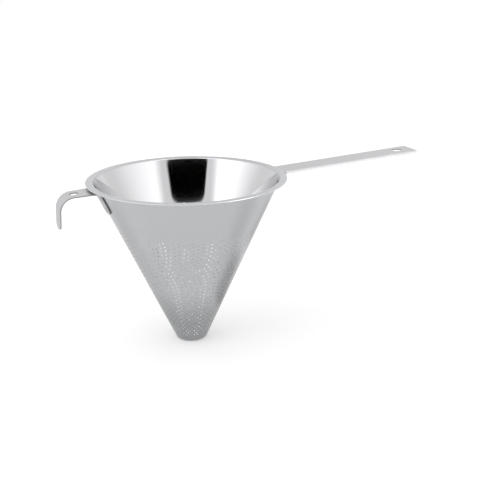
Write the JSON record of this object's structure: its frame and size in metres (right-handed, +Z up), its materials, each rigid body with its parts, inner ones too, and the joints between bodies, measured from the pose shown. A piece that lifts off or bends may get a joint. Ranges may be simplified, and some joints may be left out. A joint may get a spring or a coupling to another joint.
{
  "type": "chinois strainer",
  "caption": "Conical perforated sheet-steel strainer with a flat turned-out rim, a long strap handle with a hanging hole and a pan hook opposite it.",
  "frame": {"origin": "centre of the cone's flat tip end, on its outer face", "axes": "+Z up along the cone's axis towards the open mouth, +X towards the handle, -X towards the pan hook"},
  "size_m": [0.3902, 0.2, 0.1777],
  "materials": {
    "cone_steel": "fine satin outside, polished inside",
    "strap_steel": "fine satin",
    "weld_steel": "dull spot-weld metal"
  },
  "bodies": {
    "root": {"perforated_cone": "cone_steel", "handle": "strap_steel", "pan_hook": "strap_steel", "handle_spot_welds": "weld_steel", "hook_spot_welds": "weld_steel"}
  },
  "joints": []
}
